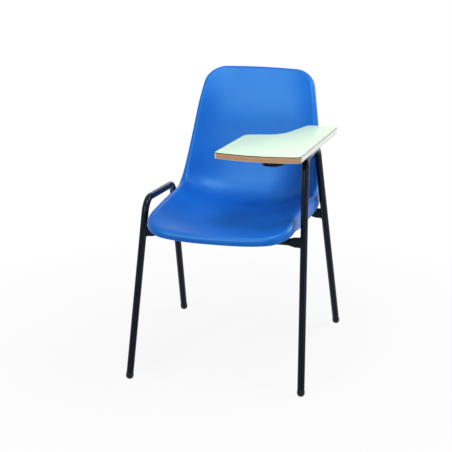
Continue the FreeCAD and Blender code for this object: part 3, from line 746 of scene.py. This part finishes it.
posts = {
    "radius": 13.0,
    "halfSpacing": 95.0,
    "tubeClearance": 0.3,
    "flare": 3.0,
    "flarePower": 6,
    "rings": (12, 9),        # across the foot and up the post
    "firstShares": (0.02, 0.05),     # where each of those starts
    "sides": 48,
    "findSteps": 40,
}


def overFoot(x, back):
    # The sheet's point straight above a place, and its normal; each step moves by the distance left
    station = shell["seatLength"] * shell["middleShare"]
    for _ in range(posts["findSteps"]):
        across = x / smoothTable(*shell["halfWidths"], np.array(station / shell["length"]))
        station = station + back - sheetPoint(np.array(station), across)[1]
    return sheetPoint(np.array(station), across), sheetNormal(np.array(station), across)


def postPatch(side, end):
    # Post turned about a vertical line: it flares into the sheet, and its foot saddles the tube
    height = crossTubes["heights"][end]
    x, back = side * posts["halfSpacing"], legPoint(1, end, height)[1]
    over, normal = overFoot(x, back)
    saddle = crossTubes["radius"] + posts["tubeClearance"]
    footRings, upRings = posts["rings"]
    firstOut, firstUp = posts["firstShares"]
    outShares = np.concatenate([np.linspace(firstOut, 1, footRings), np.ones(upRings)])
    climb = np.concatenate([np.zeros(footRings), np.linspace(firstUp, 1, upRings)])
    angles = turnAngles(posts["sides"])[None]
    radius = (posts["radius"] * outShares + posts["flare"] * climb ** posts["flarePower"])[:, None]
    px, py = radius * np.cos(angles), radius * np.sin(angles)
    foot = height + np.sqrt(np.maximum(saddle ** 2 - py ** 2, 0))
    offPlane = (x + px - over[0]) * normal[0] + (back + py - over[1]) * normal[1]
    top = over[2] - offPlane / normal[2] - shell["thickness"] / 2
    up = foot * (1 - climb[:, None]) + top * climb[:, None]
    return closedTube(np.stack([x + px, back + py, up], -1))


def makeShell():
    # The sheet and its four posts are one moulding
    patches = [shellSheetPatch()]
    patches += [postPatch(side, end) for end in (-1, 1) for side in (-1, 1)]
    addPiece("mouldedSeatShell", patches, [bluePlastic], ["seat_shell"],
             shell["sharpDegrees"])


makeShell()
print("seat shell made")


# Writing tablet

tablet = {
    "thickness": 18.0,
    "laminate": 1.4,
    "band": 2.0,
    "plate": 2.0,
    "outReaches": (243.0, 34.0),     # inward and outward from the rail's axis
    "backReaches": (226.0, 267.0),   # forward and back from the rail's middle
    # corners from the right front one on, as shares of the reaches: out or in, and back or forward
    "cornerShares": [(0.353, -1.0), (1.0, 0.903), (-0.247, 1.0), (-0.448, 0.393), (-0.901, 0.36),
                     (-1.0, -0.788), (-0.527, -0.991)],
    "cornerRadii": [16.0, 9.0, 18.0, 66.0, 20.0, 6.0, 450.0],
    "leftCorner": 5,             # place in the list of the left front corner
    "jointDistance": 5.0,        # from the left front corner to the joint of the two bands
    "wrapDistance": 18.0,        # how far the front band reaches back round the right front corner
    "arris": 0.3,
    "arrisRings": 4,
    "arcDegrees": 3.0,
    "sharpDegrees": 40,
}

railFront = legPoint(1, -1, legs["railHeights"][1][0])
railRear = legPoint(1, 1, legs["railHeights"][1][1])
railMiddle = (railFront + railRear) / 2
backAxis = unit(railRear - railFront)
outAxis = unit(np.array([1, 0, legs["leanShare"]]))
upAxis = unit(np.cross(outAxis, backAxis))
tabletBase = legs["tubeRadius"] + tablet["plate"]


def onTablet(out, back, lift):
    # The rail's middle + out, back and lift, each along its own axis of the tablet
    out, back, lift = np.broadcast_arrays(out, back, lift)
    out, back, lift = out[..., None], back[..., None], lift[..., None]
    return railMiddle + out * outAxis + back * backAxis + lift * upAxis


def reachOf(share, reaches):
    # A share below zero is of the first reach, and one above it of the second
    return share * (reaches[1] if share > 0 else reaches[0])


def tabletOutline():
    # Outline seen from above as points (out, back), with normals that point away from the board.
    # It starts on the front band's right joint, runs round the back and the left side, and ends
    # along the front and round the right front corner. The last value is the left joint's row.
    outReaches, backReaches = tablet["outReaches"], tablet["backReaches"]
    corners = np.array([(reachOf(out, outReaches), reachOf(back, backReaches), 0.0)
                        for out, back in tablet["cornerShares"]])
    path = roundedPath(corners, tablet["cornerRadii"], tablet["arcDegrees"])
    left = tablet["leftCorner"]
    rightJoint = corners[0] + unit(corners[1] - corners[0]) * tablet["wrapDistance"]
    leftJoint = corners[left] + unit(corners[left + 1] - corners[left]) * tablet["jointDistance"]
    onArc = int(np.sum(np.linalg.norm(path - corners[0], axis=1) < tablet["wrapDistance"]))
    leftJointRow = int(np.argmin(np.linalg.norm(path - leftJoint, axis=1))) + 1
    path = np.vstack([rightJoint, path[onArc:leftJointRow], leftJoint,
                      path[leftJointRow:], path[:onArc]])
    tangents = pathTangents(path, closed=True)
    area = np.sum(path[:, 0] * np.roll(path[:, 1], -1) - np.roll(path[:, 0], -1) * path[:, 1])
    normals = np.stack([tangents[:, 1], -tangents[:, 0]], -1) * np.sign(area)
    return path[:, :2], normals, leftJointRow - onArc + 1


def slabRings(outline, normals, inset, low, high, arris):
    # Board's rim from the lower face to the upper one, both arrises rounded by a quarter circle
    turns = np.linspace(0, np.pi / 2, tablet["arrisRings"])
    draw = inset + arris * np.concatenate([1 - np.sin(turns), 1 - np.cos(turns)])
    lift = np.concatenate([low + arris * (1 - np.cos(turns)), high - arris * (1 - np.sin(turns))])
    edge = outline - normals * draw[:, None, None]
    return onTablet(edge[..., 0], edge[..., 1], lift[:, None])


def bandPatch(outline, normals, low, high):
    # Rectangle with rounded outer arrises carried along a stretch of the outline
    arris, width = tablet["arris"], tablet["band"]
    turns = np.linspace(0, np.pi / 2, tablet["arrisRings"])
    draw = np.concatenate([[width], arris * (1 - np.sin(turns)),
                           arris * (1 - np.cos(turns)), [width]])
    lift = np.concatenate([[low], low + arris * (1 - np.cos(turns)),
                           high - arris * (1 - np.sin(turns)), [high]])
    edge = outline[:, None] - normals[:, None] * draw[None, :, None]
    return closedTube(onTablet(edge[..., 0], edge[..., 1], lift[None, :]))


def makeTablet():
    # Backing, core and top laminate are slabs on one outline; the bands close the core's edge
    outline, normals, leftJoint = tabletOutline()
    low, high = tabletBase, tabletBase + tablet["thickness"]
    coreLow, coreHigh = low + tablet["laminate"], high - tablet["laminate"]
    arris, sharp = tablet["arris"], tablet["sharpDegrees"]
    topRings = slabRings(outline, normals, 0, coreHigh, high, arris)
    # the cut edge, with its painted shade, shows up to the last two strips, which the decor paper
    # covers
    topMarks = [1] * (len(topRings) - 3) + [0] * 2
    addPiece("tabletTopLaminate", [closedTube(topRings, topMarks)], [mintLaminate, edgeLineWithShade],
             ["tablet_top_laminate"], sharp)
    bottomRings = slabRings(outline, normals, 0, low, coreLow, arris)
    addPiece("tabletBackingLaminate", [closedTube(bottomRings)], [backingLaminate],
             ["tablet_bottom_laminate"], sharp)
    coreRings = slabRings(outline, normals, tablet["band"], coreLow, coreHigh, arris)
    addPiece("tabletChipCore", [closedTube(coreRings)], [chipCore],
             ["tablet_core"], sharp)
    index = np.arange(len(outline))
    sideStretch, frontStretch = index[:leftJoint + 1], np.append(index[leftJoint:], 0)
    for name, stretch, material, slot, node in (
            ("tabletSideBand", sideStretch, paleBand, "pale_edge", "tablet_side_edge_band"),
            ("tabletFrontBand", frontStretch, brownBand, "brown_edge", "tablet_front_edge_band")):
        band = addPiece(name, [bandPatch(outline[stretch], normals[stretch], coreLow, coreHigh)],
                        [material], [node], sharp)
        # share of the band's height at each point, for the glue line and its painted shade
        points = np.empty(len(band.data.vertices) * 3)
        band.data.vertices.foreach_get("co", points)
        lift = (points.reshape(-1, 3) / mm - railMiddle) @ upAxis
        share = band.data.attributes.new("heightShare", "FLOAT", "POINT")
        share.data.foreach_set("value", (lift - coreLow) / (coreHigh - coreLow))


makeTablet()
print("writing tablet made")


# Hoop under the tablet

hoop = {
    "radius": 8.0,
    "bendRadius": 23.0,
    "rootRadius": 20.0,
    "runs": (-50.0, -102.0),     # how far out from the rail's axis its two runs lie
    "roots": (-14.0, 22.0),      # how far back from the rail's middle its two ends lie
    "front": -187.0,
    "sides": 36,
    "beadRadius": 2.0,
    "beadRipples": 18,
    "beadPoints": 120,
}


def makeHoop():
    # One tube bent four times in a plane under the tablet, with a bead round each end
    lift = legs["tubeRadius"] - hoop["radius"]
    near, far = hoop["runs"]
    frontRoot, rearRoot = hoop["roots"]
    front = hoop["front"]
    corners = onTablet(np.array([0, near, near, far, far, 0]),
                       np.array([frontRoot, frontRoot, front, front, rearRoot, rearRoot]), lift)
    radii = [0, hoop["rootRadius"], hoop["bendRadius"], hoop["bendRadius"], hoop["rootRadius"], 0]
    rings = sweptRings(roundedPath(corners, radii), upAxis, hoop["radius"], hoop["sides"])
    # each end ring is moved along the tube to the rail's surface: out = -sqrt(radius^2 - lift^2)
    for row in (0, -1):
        ringLift = (rings[row] - railMiddle) @ upAxis
        ringOut = (rings[row] - railMiddle) @ outAxis
        surface = -np.sqrt(np.maximum(legs["tubeRadius"] ** 2 - ringLift ** 2, 0))
        rings[row] += (surface - ringOut)[:, None] * outAxis
    addPiece("tabletHoop", [closedTube(rings)], [blackPaint],
             ["tablet_support_hoop"])
    angles = turnAngles(hoop["beadPoints"])
    beads = []
    for back in hoop["roots"]:
        seamLift = lift + hoop["radius"] * np.cos(angles)
        seamOut = -np.sqrt(np.maximum(legs["tubeRadius"] ** 2 - seamLift ** 2, 0))
        path = onTablet(seamOut, back + hoop["radius"] * np.sin(angles), seamLift)
        outward = np.sin(angles)[:, None] * backAxis + np.cos(angles)[:, None] * upAxis
        beads.append(beadRings(path, outward, hoop["beadRadius"], hoop["beadRipples"]))
    addPiece("hoopWeldBeads", beads, [blackPaint], ["hoop_welds"])


makeHoop()
print("hoop made")


# CAD pieces whose shape is right keep it and get their finish

finishes = {
    "shell_screws": zincSteel,
    "shell_washers": zincSteel,
    "tablet_screws": zincSteel,
    "front_rail_plate": blackPaint,
    "rear_rail_plate": blackPaint,
    "hoop_plate": blackPaint,
}
for nodeName, material in finishes.items():
    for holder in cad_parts[nodeName].material_slots:
        holder.material = material
print("fasteners and plates finished")


# Floor, light and camera

studio = {
    "floorHalf": 40.0,           # metres, as are the lamps' and the camera's places
    "floorColour": "#dcddde",
    # how far the floor is taken up to white near the chair and away from it, and how far out in
    # metres that starts and ends
    "floorWhite": (0.9, 1.0),
    "floorReaches": (0.3, 1.2),
    "skyColour": "#ffffff",
    "skyStrength": 0.04,
    # soft boxes: place, power, width and height; the tall ones draw a line of light down each tube
    "lamps": {
        "frontLamp": ((-0.9, -2.7, 2.2), 44.0, 0.6, 2.2),
        "overheadLamp": ((0.15, -0.42, 1.8), 9.8, 0.55, 0.55),
        "rearLamp": ((2.2, 1.1, 2.0), 50.0, 1.2, 1.6),
        "sideLamp": ((2.4, -1.2, 0.9), 8.0, 0.5, 1.6),
    },
    "target": (0.0, 0.0, 0.5),
}


def seenShare(tree):
    # 1 for what is seen straight or in a gloss, and 0 for the light that falls on the chair
    path = addNode(tree, "ShaderNodeLightPath")
    share = path.outputs["Is Camera Ray"]
    for kind in ("Is Glossy Ray", "Is Transmission Ray"):
        share = addNode(tree, "ShaderNodeMath", links={0: share, 1: path.outputs[kind]},
                        operation="ADD", use_clamp=True).outputs[0]
    return share


def makeFloor():
    # Painted floor that keeps the shadow; where it is seen, it rises to white away from the chair
    half = studio["floorHalf"]
    mesh = bpy.data.meshes.new("studioFloor")
    corners = [(-half, -half, 0), (half, -half, 0), (half, half, 0), (-half, half, 0)]
    mesh.from_pydata(corners, [], [(0, 1, 2, 3)])
    floor = bpy.data.objects.new("studioFloor", mesh)
    bpy.context.scene.collection.objects.link(floor)
    material, tree, place = startMaterial("painted studio floor")
    paint = addNode(tree, "ShaderNodeBsdfDiffuse", {"Color": hexColour(studio["floorColour"])})
    away = addNode(tree, "ShaderNodeVectorMath", links={0: place}, operation="LENGTH")
    near, far = studio["floorReaches"]
    low, high = studio["floorWhite"]
    white = addNode(tree, "ShaderNodeMapRange", {"From Min": near, "From Max": far,
                                                 "To Min": low, "To Max": high},
                    {"Value": away.outputs["Value"]})
    share = addNode(tree, "ShaderNodeMath", links={0: white.outputs["Result"], 1: seenShare(tree)},
                    operation="MULTIPLY")
    glow = addNode(tree, "ShaderNodeEmission")
    both = addNode(tree, "ShaderNodeMixShader", links={0: share.outputs[0], 1: paint.outputs[0],
                                                       2: glow.outputs[0]})
    addNode(tree, "ShaderNodeOutputMaterial", links={"Surface": both.outputs[0]})
    mesh.materials.append(material)


def makeWorld():
    # White where it is seen, and dim where it lights the chair
    world = bpy.data.worlds.new("studio")
    bpy.context.scene.world = world
    world.use_nodes = True
    tree = world.node_tree
    tree.nodes.clear()
    strength = addNode(tree, "ShaderNodeMapRange", {"To Min": studio["skyStrength"], "To Max": 1.0},
                       {"Value": seenShare(tree)})
    sky = addNode(tree, "ShaderNodeBackground", {"Color": hexColour(studio["skyColour"])},
                  {"Strength": strength.outputs["Result"]})
    addNode(tree, "ShaderNodeOutputWorld", links={"Surface": sky.outputs[0]})


def standFacing(thing, place, away, sideways):
    # Turns a lamp or the camera to look against away, with sideways to its right
    turn = Matrix(np.stack([sideways, np.cross(away, sideways), away], 1).tolist()).to_4x4()
    turn.translation = place
    thing.matrix_world = turn


def addLamp(name, place, power, width, height):
    # Soft box aimed at the studio's target
    data = bpy.data.lights.new(name, "AREA")
    data.energy = power
    data.shape = "RECTANGLE"
    data.size = width
    data.size_y = height
    lamp = bpy.data.objects.new(name, data)
    bpy.context.scene.collection.objects.link(lamp)
    away = unit(np.array(place) - np.array(studio["target"]))
    standFacing(lamp, place, away, unit(np.cross([0, 0, 1], away)))


view = {
    "place": (0.935, -3.87285, 1.668),
    "azimuth": 14.135,           # degrees round from the front
    "elevation": 17.693,
    "focalPixels": 1383.93,      # for a picture 452 pixels wide
    "pictureWidth": 452,
    "sensor": 36.0,
}


def makeCamera():
    # Stands where the photo was taken from; lens = sensor x focal pixels / picture width
    azimuth, elevation = np.radians(view["azimuth"]), np.radians(view["elevation"])
    away = np.array([np.sin(azimuth) * np.cos(elevation), -np.cos(azimuth) * np.cos(elevation),
                     np.sin(elevation)])
    sideways = np.array([np.cos(azimuth), np.sin(azimuth), 0])
    data = bpy.data.cameras.new("photoCamera")
    data.sensor_width = view["sensor"]
    data.lens = view["sensor"] * view["focalPixels"] / view["pictureWidth"]
    camera = bpy.data.objects.new("photoCamera", data)
    bpy.context.scene.collection.objects.link(camera)
    standFacing(camera, view["place"], away, sideways)
    bpy.context.scene.camera = camera


makeFloor()
makeWorld()
for lampName, lampSettings in studio["lamps"].items():
    addLamp(lampName, *lampSettings)
makeCamera()
bpy.context.scene.view_settings.view_transform = "Standard"
print("studio and camera made")

bpy.context.view_layer.update()
